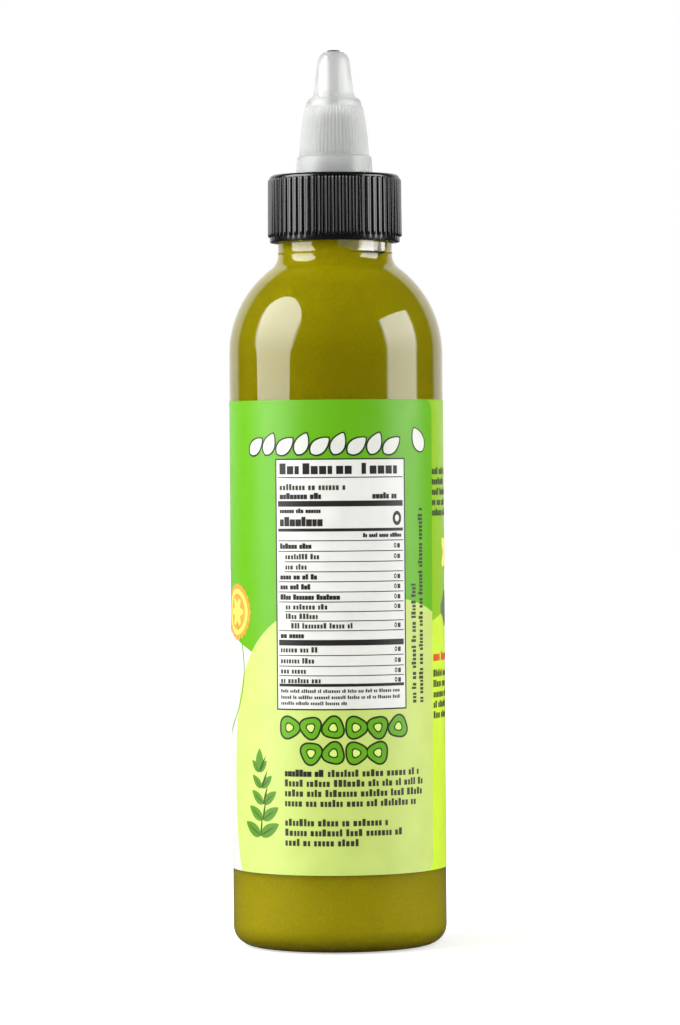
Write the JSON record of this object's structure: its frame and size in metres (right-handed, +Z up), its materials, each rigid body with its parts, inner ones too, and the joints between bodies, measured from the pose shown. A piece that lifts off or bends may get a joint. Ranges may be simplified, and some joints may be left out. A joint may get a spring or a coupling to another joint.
{
  "type": "hot sauce bottle",
  "caption": "Clear squeeze bottle filled with green hot sauce, with a wrap-round label, a ribbed black screw cap and a milky twist-open dropper spout.",
  "frame": {"origin": "centre of the foot ring, on the surface that the bottle stands on", "axes": "+Z up along the bottle's axis, -Y towards the nutrition panel's side, +X to the right of that side"},
  "size_m": [0.0438, 0.0438, 0.1826],
  "materials": {
    "bottle_wall": "clear",
    "sauce": "smooth",
    "label": "satin film",
    "cap": "satin",
    "spout": "milky"
  },
  "bodies": {
    "pack": {"bottle": "bottle_wall", "sauce": "sauce", "label": "label", "cap": "cap"},
    "spout": {"spout": "spout"}
  },
  "joints": [
    {"name": "spout_twist", "type": "hinge", "parent": "pack", "child": "spout", "pos_m": [0, 0, 0.1595], "axis": [0, 0, 1], "range_deg": [0, 180]}
  ]
}
